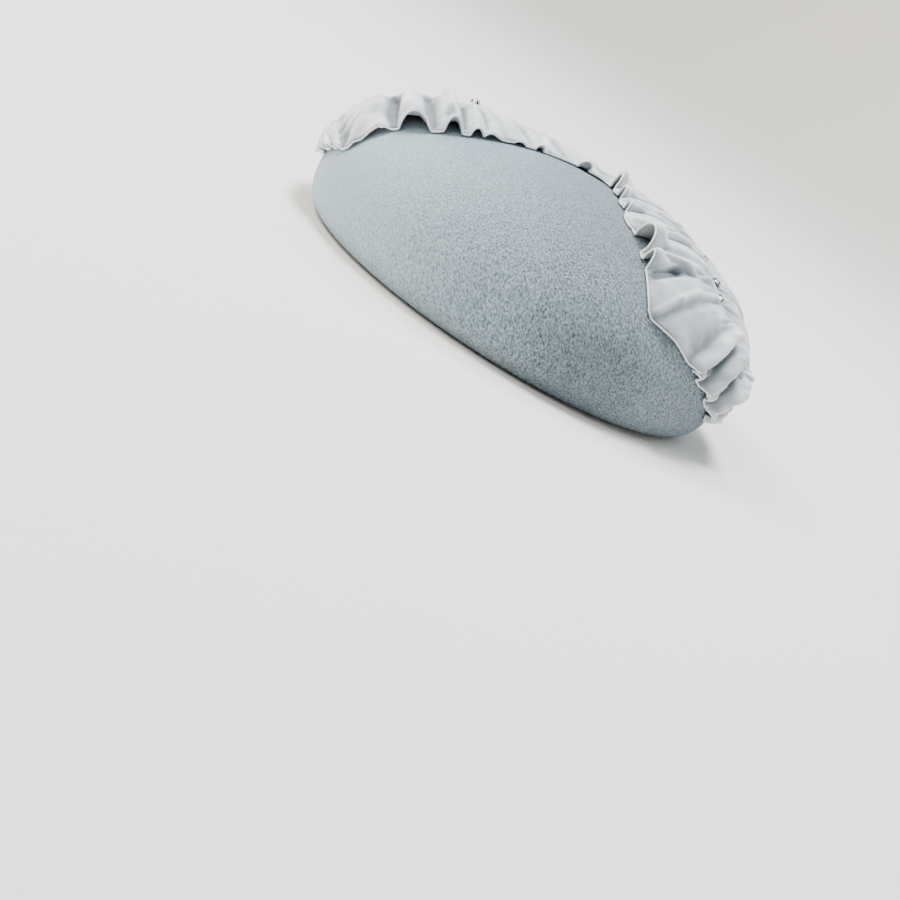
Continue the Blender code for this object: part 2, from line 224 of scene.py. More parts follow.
def silkVelvet():
    # Woven velvet with a short dense pile. Its colour carries painted sheen, darker seen straight on and
    # paler where the pile is seen from the side, so every fold has a painted light rim; and painted shade in
    # the folds' hollows with painted light on their crests
    look = velvetLook
    material, tree = newMaterial("silver velvet, woven cut pile")
    place = addNode(tree, "ShaderNodeTexCoord").outputs["Object"]
    brush = addNode(
        tree, "ShaderNodeTexNoise", {"Scale": perMetre(look["brushMm"]), "Detail": 3.0, "Distortion": 0.6},
        {"Vector": place},
    )
    tuft = addNode(
        tree, "ShaderNodeTexNoise", {"Scale": perMetre(look["tuftMm"]), "Detail": 3.0, "Roughness": 0.6},
        {"Vector": place},
    )
    aside = addNode(tree, "ShaderNodeLayerWeight", {"Blend": 0.5})
    # Painted sheen: the base colour turns paler as the pile is seen more from the side
    pile = addNode(
        tree, "ShaderNodeValToRGB", {"stops": [(0.05, look["facing"]), (0.75, look["paintedSheenRim"])]},
        {"Fac": aside.outputs["Facing"]},
    )
    # Painted shade in the folds' hollows and painted light on their crests, from each spot's ridge share
    ridge = addNode(tree, "ShaderNodeAttribute", {"attribute_name": "ridge"})
    paintedFoldShade = addNode(
        tree, "ShaderNodeValToRGB",
        {"stops": [(0.1, look["paintedHollowShade"]), (0.48, look["level"]), (0.85, look["crest"])]},
        {"Fac": ridge.outputs["Fac"]},
    )
    marks = addNode(
        tree, "ShaderNodeValToRGB", {"stops": [(0.35, look["brushedDark"]), (0.6, "#FFFFFF")]},
        {"Fac": brush.outputs["Fac"]},
    )
    tone = addNode(
        tree, "ShaderNodeMix", {"data_type": "RGBA", "blend_type": "MULTIPLY", "Factor": 1.0},
        {"A": pile.outputs["Color"], "B": marks.outputs["Color"]},
    )
    folded = addNode(
        tree, "ShaderNodeMix", {"data_type": "RGBA", "blend_type": "MULTIPLY", "Factor": 1.0},
        {"A": tone.outputs["Result"], "B": paintedFoldShade.outputs["Color"]},
    )
    relief = addNode(
        tree, "ShaderNodeBump", {"Strength": 0.35, "Distance": look["pileDepthMm"] / 1000},
        {"Height": tuft.outputs["Fac"]},
    )
    finishMaterial(
        tree,
        {
            "Roughness": 0.75, "Specular IOR Level": 0.2, "Sheen Weight": 0.5, "Sheen Roughness": 0.3,
            "Sheen Tint": hexColor(look["sheen"]),
        },
        {"Base Color": folded.outputs["Result"], "Normal": relief.outputs["Normal"]},
    )
    return material


selvedgeLook = {
    "dark": "#D6DBDC",
    "light": "#F6F8F8",
    "weaveMm": 0.6,          # a few threads, which are too fine to show singly
    "weaveDepthMm": 0.1,
}


def satinSelvedge():
    # The ribbon's woven satin edge: pale, smooth and a little shiny against the pile
    look = selvedgeLook
    material, tree = newMaterial("pale satin selvedge, woven")
    place = addNode(tree, "ShaderNodeTexCoord").outputs["Object"]
    weave = addNode(
        tree, "ShaderNodeTexNoise", {"Scale": perMetre(look["weaveMm"]), "Detail": 2.0}, {"Vector": place},
    )
    tone = addNode(
        tree, "ShaderNodeValToRGB", {"stops": [(0.35, look["dark"]), (0.65, look["light"])]},
        {"Fac": weave.outputs["Fac"]},
    )
    relief = addNode(
        tree, "ShaderNodeBump", {"Strength": 0.3, "Distance": look["weaveDepthMm"] / 1000},
        {"Height": weave.outputs["Fac"]},
    )
    finishMaterial(
        tree, {"Roughness": 0.42, "Sheen Weight": 0.3},
        {"Base Color": tone.outputs["Color"], "Normal": relief.outputs["Normal"]},
    )
    return material


crystalLook = {
    "stoneDark": "#F0F3F6",
    "stoneLight": "#FFFFFF",
    "foilMm": 1.2,
    "cup": "#6E7478",
    "cupWearMm": 0.8,
}


def cutGlass():
    # Cut lead glass on a silver foil: each facet flashes white or dark as it turns to the light
    look = crystalLook
    material, tree = newMaterial("clear cut glass, foil-backed and polished")
    place = addNode(tree, "ShaderNodeTexCoord").outputs["Object"]
    foil = addNode(
        tree, "ShaderNodeTexNoise", {"Scale": perMetre(look["foilMm"]), "Detail": 1.0}, {"Vector": place},
    )
    tone = addNode(
        tree, "ShaderNodeValToRGB", {"stops": [(0.4, look["stoneDark"]), (0.6, look["stoneLight"])]},
        {"Fac": foil.outputs["Fac"]},
    )
    finishMaterial(
        tree,
        {"Metallic": 0.4, "Roughness": 0.12, "IOR": 1.75, "Coat Weight": 1.0, "Coat Roughness": 0.02},
        {"Base Color": tone.outputs["Color"]},
    )
    return material


def platedBrass():
    # Stamped brass cups with a dark grey silver plate, so a thin dark ring shows round each stone
    look = crystalLook
    material, tree = newMaterial("silver-plated brass, stamped")
    place = addNode(tree, "ShaderNodeTexCoord").outputs["Object"]
    wear = addNode(
        tree, "ShaderNodeTexNoise", {"Scale": perMetre(look["cupWearMm"]), "Detail": 2.0}, {"Vector": place},
    )
    rough = addNode(
        tree, "ShaderNodeMapRange", {"To Min": 0.15, "To Max": 0.35}, {"Value": wear.outputs["Fac"]},
    )
    finishMaterial(
        tree, {"Base Color": hexColor(look["cup"]), "Metallic": 1.0}, {"Roughness": rough.outputs["Result"]},
    )
    return material


# Shapes

def newPiece(name, mesh, materials, slotName, *nodes):
    piece = bpy.data.objects.new(name, mesh)
    bpy.context.scene.collection.objects.link(piece)
    for material in materials:
        mesh.materials.append(material)
    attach(piece, "root")
    if nodes:
        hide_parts(*nodes)
    return piece


def meshFrom(form, name, smoothAngle=40):
    # smoothAngle is in degrees: a wider bend than that is shaded as a crease
    mesh = bpy.data.meshes.new(name)
    form.to_mesh(mesh)
    form.free()
    mesh.shade_smooth()
    mesh.set_sharp_from_angle(angle=math.radians(smoothAngle))
    return mesh


def runningLengths(spots):
    # How far along the line of spots each spot lies
    lengths = [0.0]
    for before, after in zip(spots, spots[1:]):
        lengths.append(lengths[-1] + math.dist(before, after))
    return lengths


def spinOutline(outline, steps, mergeWithin):
    # Turns (radius, height) spots once round the upright axis
    form = bmesh.new()
    spots = [form.verts.new((radius, 0.0, height)) for radius, height in outline]
    edges = [form.edges.new(pair) for pair in zip(spots, spots[1:])]
    bmesh.ops.spin(
        form, geom=spots + edges, cent=(0, 0, 0), axis=(0, 0, 1), angle=math.tau, steps=steps, use_merge=True,
    )
    bmesh.ops.remove_doubles(form, verts=form.verts, dist=mergeWithin)
    bmesh.ops.recalc_face_normals(form, faces=form.faces)
    return form


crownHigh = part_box("crown")[1]
crown = {
    "radius": crownHigh.x,
    "height": crownHigh.z,
    "widestHeight": 0.0203,
    "openingRadius": 0.072,
    "rimFlat": 0.004,
    "wall": 0.0025,
    "topFullness": 2.25,
    "underFullness": 2.8,
    "turns": 224,
    "topBands": 52,
    "underBands": 18,
    "unevenMm": 0.35,        # how far the blocked felt is off its true curve
    "unevenWideMm": 45,
    "unevenNarrowMm": 17,
    "narrowShare": 0.5,      # height of the narrow unevenness over the wide one's
    "trueHeight": 0.012,     # under this the unevenness fades, so that the rim lies flat
    "cutEdge": 0.0007,
}


def superArc(inner, outer, fullness, steps):
    # Quarter of a superellipse as (radius, height) spots from the inner end to the outer end
    spots = []
    for step in range(steps + 1):
        turn = math.pi / 2 * step / steps
        across = math.sin(turn) ** (2 / fullness)
        down = 1 - max(math.cos(turn), 0.0) ** (2 / fullness)
        spots.append((inner[0] + (outer[0] - inner[0]) * across, inner[1] + (outer[1] - inner[1]) * down))
    return spots


def crownCurve(steps=600):
    # Rows of (share of the way down, radius, height); share 1 is the widest line
    widest = (crown["radius"], crown["widestHeight"])
    top = superArc((0.0, crown["height"]), widest, crown["topFullness"], steps)
    flatOuter = (crown["openingRadius"] + crown["rimFlat"], 0.0)
    under = superArc(flatOuter, widest, crown["underFullness"], steps)
    spots = top + under[::-1][1:]
    lengths = runningLengths(spots)
    return [(length / lengths[steps], *spot) for length, spot in zip(lengths, spots)], lengths[steps]


curve, crownArc = crownCurve()
curveShares = [row[0] for row in curve]


def curveSpot(share):
    # Radius, height and outward direction at a share of the way down the crown's curve
    upper = min(max(bisect_left(curveShares, share), 1), len(curve) - 1)
    shareA, radiusA, heightA = curve[upper - 1]
    shareB, radiusB, heightB = curve[upper]
    part = (share - shareA) / (shareB - shareA)
    out = Vector((heightA - heightB, radiusB - radiusA)).normalized()
    return radiusA + (radiusB - radiusA) * part, heightA + (heightB - heightA) * part, out


def crownPoint(xShare, yShare, lift):
    # Point over the felt at a spot of a round map whose radius 1 is the widest line
    radius, height, out = curveSpot(math.hypot(xShare, yShare))
    turn = math.atan2(yShare, xShare)
    radius += lift * out.x
    return Vector((radius * math.cos(turn), radius * math.sin(turn), height + lift * out.y))


def makeCrown(material):
    lastShare = curve[-1][0]
    shares = [band / crown["topBands"] for band in range(crown["topBands"] + 1)]
    shares += [1 + (lastShare - 1) * band / crown["underBands"] for band in range(1, crown["underBands"] + 1)]
    outline = [curveSpot(share)[:2] for share in shares] + [(crown["openingRadius"], 0.0)]
    form = spinOutline(outline, crown["turns"], 0.00001)
    form.normal_update()
    for vert in form.verts:
        # Hand-blocked felt is never quite even
        hold = min(vert.co.z / crown["trueHeight"], 1.0)
        wide = noise.noise(vert.co * perMetre(crown["unevenWideMm"]))
        narrow = noise.noise(vert.co * perMetre(crown["unevenNarrowMm"]))
        vert.co += vert.normal * (wide + crown["narrowShare"] * narrow) * hold * crown["unevenMm"] / 1000
    piece = newPiece("feltCrown", meshFrom(form, "feltCrown"), [material], "wool_felt", "crown")
    wall = piece.modifiers.new("Wall", "SOLIDIFY")
    wall.thickness = crown["wall"]
    wall.offset = -1
    wall.use_even_offset = True
    edge = piece.modifiers.new("Cut edge", "BEVEL")
    edge.width = crown["cutEdge"]
    edge.segments = 3
    edge.limit_method = "ANGLE"
    edge.angle_limit = math.radians(60)


# The ribbon is laid out on the crown's round map by sections from its left end to its right end.
# run is the share of its length, puff a share of puffHeight.
ribbon = {
    "wall": 0.0010,
    "gap": 0.0004,
    "seamLift": 0.0016,
    "puffHeight": 0.0046,
    "farPuff": 0.75,
    "puffSkew": 0.8,
    "foldHeight": 0.0080,
    "foldWidth": 0.0120,
    "crestPower": 1.8,       # above 1 the ruffles' heads are narrower and their feet wider
    "farFoldHeight": 0.0028,
    "farFoldCount": 15,
    "gatherStep": 0.0052,
    "gatherHeight": 0.0005,
    "farGatherHeight": 0.0003,
    "gatherReach": 0.55,
    "gatherWander": 2.2,     # how unevenly the gathers are spaced, in radians of their wave
    "wanderScale": 60,       # of its noise along the ribbon
    "crumple": 0.0006,
    "crumpleScale": 14,      # of its noise over the crown's map
    "lobeStart": 0.6,        # the lobes roll out from this share of the way to the near edge
    "columns": 600,
    "rows": 76,
    "flatWidth": 0.090,
    "flatLength": 0.420,
}

Section = namedtuple("Section", "run nearX nearY seamX seamY farX farY puff")
sections = [
    Section(0.00, -1.00, -0.19, -1.04, -0.06, -1.05, 0.07, 0.15),
    Section(0.06, -0.90, -0.33, -0.97, -0.04, -0.98, 0.20, 0.62),
    Section(0.13, -0.81, -0.42, -0.89, -0.02, -0.90, 0.32, 0.72),
    Section(0.22, -0.66, -0.38, -0.75, 0.01, -0.80, 0.43, 0.92),
    Section(0.32, -0.50, -0.35, -0.59, 0.06, -0.64, 0.58, 0.88),
    Section(0.40, -0.34, -0.25, -0.46, 0.15, -0.46, 0.71, 0.50),
    Section(0.48, -0.16, -0.06, -0.29, 0.30, -0.22, 0.83, 0.45),
    Section(0.54, -0.02, 0.10, -0.11, 0.42, 0.04, 0.90, 0.55),
    Section(0.58, 0.07, 0.13, 0.10, 0.46, 0.30, 0.87, 0.75),
    Section(0.63, 0.13, -0.03, 0.31, 0.35, 0.54, 0.75, 0.85),
    Section(0.69, 0.19, -0.25, 0.46, 0.14, 0.74, 0.58, 0.90),
    Section(0.76, 0.30, -0.45, 0.54, -0.07, 0.88, 0.39, 0.95),
    Section(0.81, 0.39, -0.605, 0.60, -0.17, 0.93, 0.29, 0.86),
    Section(0.83, 0.43, -0.65, 0.62, -0.21, 0.95, 0.25, 0.86),
    Section(0.85, 0.475, -0.645, 0.66, -0.205, 0.965, 0.225, 0.84),
    Section(0.89, 0.60, -0.60, 0.75, -0.19, 0.99, 0.17, 0.78),
    Section(0.94, 0.75, -0.53, 0.88, -0.13, 1.02, 0.12, 0.70),
    Section(0.97, 0.87, -0.45, 0.97, -0.10, 1.04, 0.09, 0.90),
    Section(1.00, 1.01, -0.33, 1.06, -0.09, 1.07, 0.07, 0.60),
]

# Ruffles of the near edge: width is a share of foldWidth, rise of foldHeight, reach the share of the way
# to the seam that the ruffle runs in, swell how far its head widens over its foot, lean its tip's drift.
Fold = namedtuple("Fold", "run width rise reach swell lean")
folds = [
    Fold(0.020, 0.32, 0.35, 0.50, 0.7, 0.2),
    Fold(0.055, 0.32, 0.40, 0.50, 0.7, 0.2),
    Fold(0.092, 0.30, 0.30, 0.45, 0.5, 0.2),
    Fold(0.190, 1.10, 0.30, 0.30, 0.1, 0.3),
    Fold(0.268, 1.02, 0.92, 0.25, 0.4, 0.0),
    Fold(0.340, 0.62, 0.78, 0.22, 0.4, -0.1),
    Fold(0.377, 0.50, 0.40, 0.16, 0.4, -0.1),
    Fold(0.400, 0.80, 0.24, 0.18, 0.0, -0.2),
    Fold(0.440, 0.50, 0.15, 0.12, 0.5, 0.0),
    Fold(0.468, 0.36, 0.27, 0.09, 0.8, 0.0),
    Fold(0.536, 0.50, 0.40, 0.07, 1.0, 0.3),
    Fold(0.598, 0.44, 0.84, 0.36, 0.9, 0.0),
    Fold(0.628, 0.42, 0.62, 0.32, 0.9, 0.2),
    Fold(0.668, 0.36, 0.50, 0.32, 0.9, 0.2),
    Fold(0.737, 0.86, 1.16, 0.36, 1.0, 0.1),
    Fold(0.769, 0.46, 0.76, 0.30, 0.6, -0.7),
    Fold(0.875, 2.40, 0.14, 0.30, 0.0, 0.0),
    Fold(0.931, 0.40, 0.28, 0.30, 0.6, 0.3),
    Fold(0.961, 0.45, 0.34, 0.30, 0.6, 0.3),
    Fold(0.986, 0.50, 0.40, 0.30, 0.5, 0.0),
]

# Lobes where the near edge rolls out over the felt between two ruffles; reachMm is how far
Lobe = namedtuple("Lobe", "run widthMm reachMm")
lobes = [
    Lobe(0.205, 5, 0.6),
    Lobe(0.305, 6, 0.8),
    Lobe(0.360, 5, 0.6),
    Lobe(0.611, 6, 1.6),
    Lobe(0.648, 7, 1.8),
    Lobe(0.694, 11, 1.8),
    Lobe(0.757, 5, 1.0),
    Lobe(0.943, 6, 0.7),
    Lobe(0.973, 6, 0.8),
]

# Creases that draw the belly of the cloth down
Crease = namedtuple("Crease", "run width depth")
creases = [
    Crease(0.120, 0.8, 0.45),
    Crease(0.230, 0.6, 0.55),
    Crease(0.308, 0.6, 0.50),
    Crease(0.360, 0.5, 0.40),
    Crease(0.420, 0.6, 0.35),
    Crease(0.500, 0.8, 0.30),
    Crease(0.570, 0.8, 0.40),
    Crease(0.620, 0.6, 0.40),
    Crease(0.665, 0.6, 0.40),
    Crease(0.708, 0.6, 0.40),
    Crease(0.786, 0.8, 0.45),
    Crease(0.833, 0.7, 0.35),
    Crease(0.905, 0.7, 0.35),
    Crease(0.945, 0.6, 0.40),
    Crease(0.972, 0.6, 0.40),
]

# Wrinkles are ridges (hollows where heightMm is under zero) from A to B on the ribbon. beforeMm is how far
# the slope runs towards the ribbon's left end, afterMm towards its right end: a short one makes a pleat.
Wrinkle = namedtuple("Wrinkle", "runA acrossA runB acrossB beforeMm afterMm heightMm")
wrinkles = [
    Wrinkle(0.030, -0.95, 0.060, -0.50, 3.0, 1.5, 1.6),
    Wrinkle(0.070, -0.95, 0.145, -0.55, 3.0, 2.4, -0.9),
    Wrinkle(0.107, -1.00, 0.170, -0.60, 3.0, 2.4, -0.8),
    Wrinkle(0.145, -0.97, 0.188, -0.50, 3.0, 4.5, 1.2),
    Wrinkle(0.220, -0.95, 0.237, -0.20, 5.5, 2.6, -3.6),
    Wrinkle(0.246, -0.75, 0.262, -0.15, 3.0, 4.0, 2.0),
    Wrinkle(0.300, -0.95, 0.300, 0.00, 4.5, 2.6, -3.8),
    Wrinkle(0.333, -0.70, 0.334, 0.23, 2.2, 3.4, 4.2),
    Wrinkle(0.357, -0.90, 0.362, 0.20, 3.0, 2.0, -2.0),
    Wrinkle(0.375, -0.85, 0.382, -0.30, 2.0, 3.0, 1.4),
    Wrinkle(0.378, 0.02, 0.412, 0.02, 6.0, 6.0, 2.0),
    Wrinkle(0.395, -0.88, 0.398, -0.12, 2.5, 2.0, -1.6),
    Wrinkle(0.427, -0.93, 0.432, -0.30, 5.0, 5.0, 0.8),
    Wrinkle(0.458, -0.93, 0.453, -0.30, 3.0, 2.0, -1.4),
    Wrinkle(0.480, -0.93, 0.492, -0.30, 2.0, 3.0, 1.6),
    Wrinkle(0.510, -0.95, 0.512, -0.30, 3.5, 2.0, -1.4),
    Wrinkle(0.545, -0.60, 0.535, -0.30, 3.0, 3.0, 0.8),
    Wrinkle(0.562, -0.80, 0.550, -0.35, 3.0, 2.0, -1.6),
    Wrinkle(0.603, -0.90, 0.590, -0.30, 3.0, 3.0, 2.2),
    Wrinkle(0.630, -0.95, 0.650, -0.40, 2.5, 1.6, -1.8),
    Wrinkle(0.648, -0.95, 0.686, -0.35, 2.0, 2.4, 1.6),
    Wrinkle(0.670, -0.95, 0.700, -0.30, 2.4, 1.6, -1.8),
    Wrinkle(0.695, -0.97, 0.725, -0.37, 2.0, 3.0, 1.4),
    Wrinkle(0.714, -1.00, 0.742, -0.25, 2.6, 1.6, -2.0),
    Wrinkle(0.742, -0.90, 0.765, -0.25, 5.0, 3.0, 1.4),
    Wrinkle(0.756, -0.88, 0.802, -0.25, 2.4, 1.8, 1.8),
    Wrinkle(0.783, -0.92, 0.780, -0.66, 1.8, 4.2, -2.8),
    Wrinkle(0.831, -0.97, 0.824, -0.68, 2.6, 1.2, 1.3),
    Wrinkle(0.824, -0.68, 0.819, -0.42, 2.6, 1.2, 0.9),
    Wrinkle(0.842, -0.92, 0.838, -0.60, 2.0, 4.0, -0.4),
    Wrinkle(0.897, -0.90, 0.884, -0.35, 7.0, 4.0, -1.2),
    Wrinkle(0.924, -0.97, 0.890, -0.20, 6.0, 1.2, 3.8),
    Wrinkle(0.935, -0.97, 0.905, -0.40, 1.2, 5.0, -4.4),
    Wrinkle(0.957, -1.00, 0.912, -0.15, 5.0, 1.2, 3.8),
    Wrinkle(0.968, -0.97, 0.934, -0.25, 1.2, 4.6, -4.4),
    Wrinkle(0.980, -0.92, 0.935, 0.20, 4.0, 1.4, 3.6),
    Wrinkle(0.992, -1.00, 0.960, 0.20, 1.4, 3.6, -3.4),
]


@lru_cache(None)
def sectionAt(run):
    # A smooth curve through each of the sections' columns
    last = len(sections) - 1
    upper = next((i for i in range(1, last) if sections[i].run >= run), last)
    one, two = sections[upper - 1], sections[upper]
    before, after = sections[max(upper - 2, 0)], sections[min(upper + 1, last)]
    span = two.run - one.run
    part = (run - one.run) / span
    values = [run]
    for a, b, c, d in zip(before[1:], one[1:], two[1:], after[1:]):
        slopeB = (c - a) / (two.run - before.run) * span
        slopeC = (d - b) / (after.run - one.run) * span
        values.append(
            (2 * part**3 - 3 * part**2 + 1) * b + (part**3 - 2 * part**2 + part) * slopeB
            + (3 * part**2 - 2 * part**3) * c + (part**3 - part**2) * slopeC
        )
    return Section(*values)


def smooth(value):
    value = min(max(value, 0.0), 1.0)
    return value * value * (3 - 2 * value)


def nearLengths(steps=480):
    rows = [sectionAt(step / steps) for step in range(steps + 1)]
    return runningLengths([crownPoint(section.nearX, section.nearY, 0.0) for section in rows])


edgeLengths = nearLengths()


@lru_cache(None)
def nearLength(run):
    # Metres along the near edge, as it lies on the felt without its ruffles
    place = min(max(run, 0.0), 1.0) * (len(edgeLengths) - 1)
    lower = min(int(place), len(edgeLengths) - 2)
    return edgeLengths[lower] + (edgeLengths[lower + 1] - edgeLengths[lower]) * (place - lower)


def nearRuffle(run, depth):
    # Rise off the felt and shift along the edge; depth is 1 on the near edge and 0 on the seam
    rise = shift = 0.0
    for fold in folds:
        halfWidth = fold.width * ribbon["foldWidth"] / 2
        place = (nearLength(run) - nearLength(fold.run)) / halfWidth
        if abs(place) >= 1:
            continue
        strength = smooth((depth - 1 + fold.reach) / fold.reach)
        crest = math.cos(math.pi / 2 * place) ** ribbon["crestPower"]
        rise += fold.rise * ribbon["foldHeight"] * strength * crest
        shift += halfWidth * strength * (fold.swell * math.sin(math.pi * place) / 2 + fold.lean * crest)
    return rise, shift


def lobeReach(run, depth):
    # How far the near edge is rolled out, in metres
    reach = 0.0
    for lobe in lobes:
        place = (nearLength(run) - nearLength(lobe.run)) / (lobe.widthMm / 2000)
        if abs(place) < 1:
            reach += lobe.reachMm / 1000 * math.sqrt(1 - place * place)
    return reach * smooth((depth - ribbon["lobeStart"]) / (1 - ribbon["lobeStart"]))


def farRuffle(run, depth):
    wave = (1 - math.cos(math.tau * ribbon["farFoldCount"] * run)) / 2
    return ribbon["farFoldHeight"] * smooth(depth) * wave, 0.0


@lru_cache(None)
def belly(run):
    # Share of the cloth's puff that the creases leave
    left = 1.0
    for crease in creases:
        place = (nearLength(run) - nearLength(crease.run)) / (crease.width * ribbon["foldWidth"] / 2)
        if abs(place) < 1:
            left -= crease.depth * (1 + math.cos(math.pi * place)) / 2
    return max(left, 0.0)


def mapSpot(section, across, extra=0.0):
    # Spot of the crown's map between the seam and the edge on that side, and extra metres past it
    edgeX, edgeY = (section.nearX, section.nearY) if across < 0 else (section.farX, section.farY)
    spanX, spanY = edgeX - section.seamX, edgeY - section.seamY
    reach = abs(across) + extra / (math.hypot(spanX, spanY) * crownArc)
    return section.seamX + spanX * reach, section.seamY + spanY * reach


wrinkleStarts = [mapSpot(sectionAt(wrinkle.runA), wrinkle.acrossA) for wrinkle in wrinkles]
wrinkleEnds = [mapSpot(sectionAt(wrinkle.runB), wrinkle.acrossB) for wrinkle in wrinkles]


def wrinkleLift(xShare, yShare):
    # Sum of the wrinkles at a spot of the crown's map, in metres
    lift = 0.0
    for (startX, startY), (endX, endY), wrinkle in zip(wrinkleStarts, wrinkleEnds, wrinkles):
        spanX, spanY = endX - startX, endY - startY
        offX, offY = xShare - startX, yShare - startY
        before = spanX * offY > spanY * offX
        half = (wrinkle.beforeMm if before else wrinkle.afterMm) / 1000 / crownArc
        part = min(max((offX * spanX + offY * spanY) / (spanX * spanX + spanY * spanY), 0.0), 1.0)
        away = math.hypot(offX - spanX * part, offY - spanY * part) / half
        if away < 1:
            lift += wrinkle.heightMm / 1000 * (1 + math.cos(math.pi * away)) / 2
    return lift


def gatherLift(run, across):
    # Small gathers pulled in by the seam's stitches, fading towards both edges
    wander = ribbon["gatherWander"] * noise.noise((run * ribbon["wanderScale"], 0.0, 0.0))
    wave = math.sin(nearLength(run) * math.tau / ribbon["gatherStep"] + wander)
    near = 1 - smooth(abs(across) / ribbon["gatherReach"])
    height = ribbon["gatherHeight"] if across < 0 else ribbon["farGatherHeight"]
    return height * near * wave


lowestLift = ribbon["wall"] / 2 + ribbon["gap"]     # of the middle of the cloth over the felt


def ruffle(run, across):
    # Rise and shift on either side of the seam
    return nearRuffle(run, -across) if across < 0 else farRuffle(run, across)


def smoothCloth(run, across):
    # Spot of the crown's map and lift over the felt, without ruffles, wrinkles and gathers
    section = sectionAt(run)
    depth = abs(across)
    xShare, yShare = mapSpot(section, across, lobeReach(run, depth) if across < 0 else 0.0)
    puff = section.puff * ribbon["puffHeight"] * belly(run) * (1.0 if across < 0 else ribbon["farPuff"])
    lift = lowestLift + ribbon["seamLift"] * (1 - smooth(2 * depth))
    return xShare, yShare, lift + puff * math.sin(math.pi * depth ** ribbon["puffSkew"])


def ribbonPoint(run, across):
    # Point of the cloth: run is the share of its length, across goes from -1, near edge, to 1, far edge
    xShare, yShare, lift = smoothCloth(run, across)
    rise, shift = ruffle(run, across)
    scale = ribbon["crumpleScale"]
    crumple = noise.noise((xShare * scale, yShare * scale, 3.0)) * ribbon["crumple"]
    lift += wrinkleLift(xShare, yShare) + gatherLift(run, across) + crumple
    point = crownPoint(xShare, yShare, max(lift, lowestLift) + rise)
    if shift:
        nearby = 0.002
        along = crownPoint(*smoothCloth(min(run + nearby, 1.0), across))
        along -= crownPoint(*smoothCloth(max(run - nearby, 0.0), across))
        point += along.normalized() * shift
    return point


def ridgeShare(run, across):
    # 0 in the deepest hollows and 1 on the highest ridges: it sets the velvet's painted fold shade and light
    xShare, yShare, _ = smoothCloth(run, across)
    drawnIn = (1 - belly(run)) * ribbon["puffHeight"] * velvetLook["creaseShare"]
    lift = wrinkleLift(xShare, yShare) + ruffle(run, across)[0] - drawnIn
    return min(max(0.5 + lift * 1000 / velvetLook["ridgeReachMm"], 0.0), 1.0)


def evenRuns(count, across=-1.0, steps=3000):
    # Shares of the ribbon's length that lie evenly spaced along one of its ruffled edges
    lengths = runningLengths([ribbonPoint(step / steps, across) for step in range(steps + 1)])
    wanted = np.linspace(0, lengths[-1], count + 1)
    return np.interp(wanted, lengths, np.linspace(0, 1, steps + 1))


def makeRibbon(material):
    runs = evenRuns(ribbon["columns"])
    form = bmesh.new()
    bmesh.ops.create_grid(form, x_segments=ribbon["columns"], y_segments=ribbon["rows"], size=1.0)
    # The ridge share sets the velvet's painted shade and light on its folds
    ridge = form.verts.layers.float.new("ridge")
    for vert in form.verts:
        column = round((vert.co.x + 1) / 2 * ribbon["columns"])
        run, across = float(runs[column]), vert.co.y
        vert[ridge] = ridgeShare(run, across)
        vert.co = ribbonPoint(run, across)
    bmesh.ops.recalc_face_normals(form, faces=form.faces)
    piece = newPiece("velvetRibbon", meshFrom(form, "velvetRibbon", 80), [material], "velvet", "ribbon")
    wall = piece.modifiers.new("Cloth", "SOLIDIFY")
    wall.thickness = ribbon["wall"]
    wall.offset = 0
    return piece


selvedge = {"radius": 0.00042, "points": 900}


def makeSelvedge(name, across, material):
    # A rolled satin edge along one side of the ribbon
    line = bpy.data.curves.new(name, "CURVE")
    line.dimensions = "3D"
    line.bevel_depth = selvedge["radius"]
    line.bevel_resolution = 2
    line.use_fill_caps = True
    spline = line.splines.new("POLY")
    runs = evenRuns(selvedge["points"], across)
    spline.points.add(len(runs) - 1)
    for spot, run in zip(spline.points, runs):
        spot.co = (*ribbonPoint(float(run), across), 1.0)
    tube = bpy.data.objects.new(name + "Line", line)
    bpy.context.scene.collection.objects.link(tube)
    bpy.context.view_layer.update()
    mesh = bpy.data.meshes.new_from_object(tube.evaluated_get(bpy.context.evaluated_depsgraph_get()))
    bpy.data.objects.remove(tube)
    mesh.name = name
    form = bmesh.new()
    form.from_mesh(mesh)
    bmesh.ops.remove_doubles(form, verts=form.verts, dist=0.000001)
    form.to_mesh(mesh)
    form.free()
    mesh.shade_smooth()
    mesh.materials.clear()
    return newPiece(name, mesh, [material], "velvet")


crystal = {
    "diameter": 0.0039,
    "stoneHeight": 0.0019,
    "tableShare": 0.58,
    "stoneSides": 8,
    "girdleHeight": 0.5,     # this and the next three are shares of the stone's height or radius
    "girdleTop": 0.82,
    "facetHeight": 0.55,
    "facetFoot": 0.86,
    "cupWall": 0.0004,
    "cupHeight": 0.0008,
    "cupSides": 24,
    "claws": 4,
    "clawSize": (0.0003, 0.0005, 0.0014),
    "clawGap": 0.0002,
    "sink": 0.0002,          # how deep the cup presses into the pile
}

Spot = namedtuple("Spot", "run across")
crystalSpots = [
    Spot(0.395, 0.00),
    Spot(0.500, 0.22),
    Spot(0.610, 0.24),
    Spot(0.710, 0.00),
    Spot(0.780, -0.03),
    Spot(0.815, 0.02),
]


def addRing(form, sides, footRadius, topRadius, foot, height):
    # A closed tapered ring whose foot is this far over the crystal's own
    bmesh.ops.create_cone(
        form, cap_ends=True, segments=sides, radius1=footRadius, radius2=topRadius, depth=height,
        matrix=Matrix.Translation((0, 0, foot + height / 2)),
    )


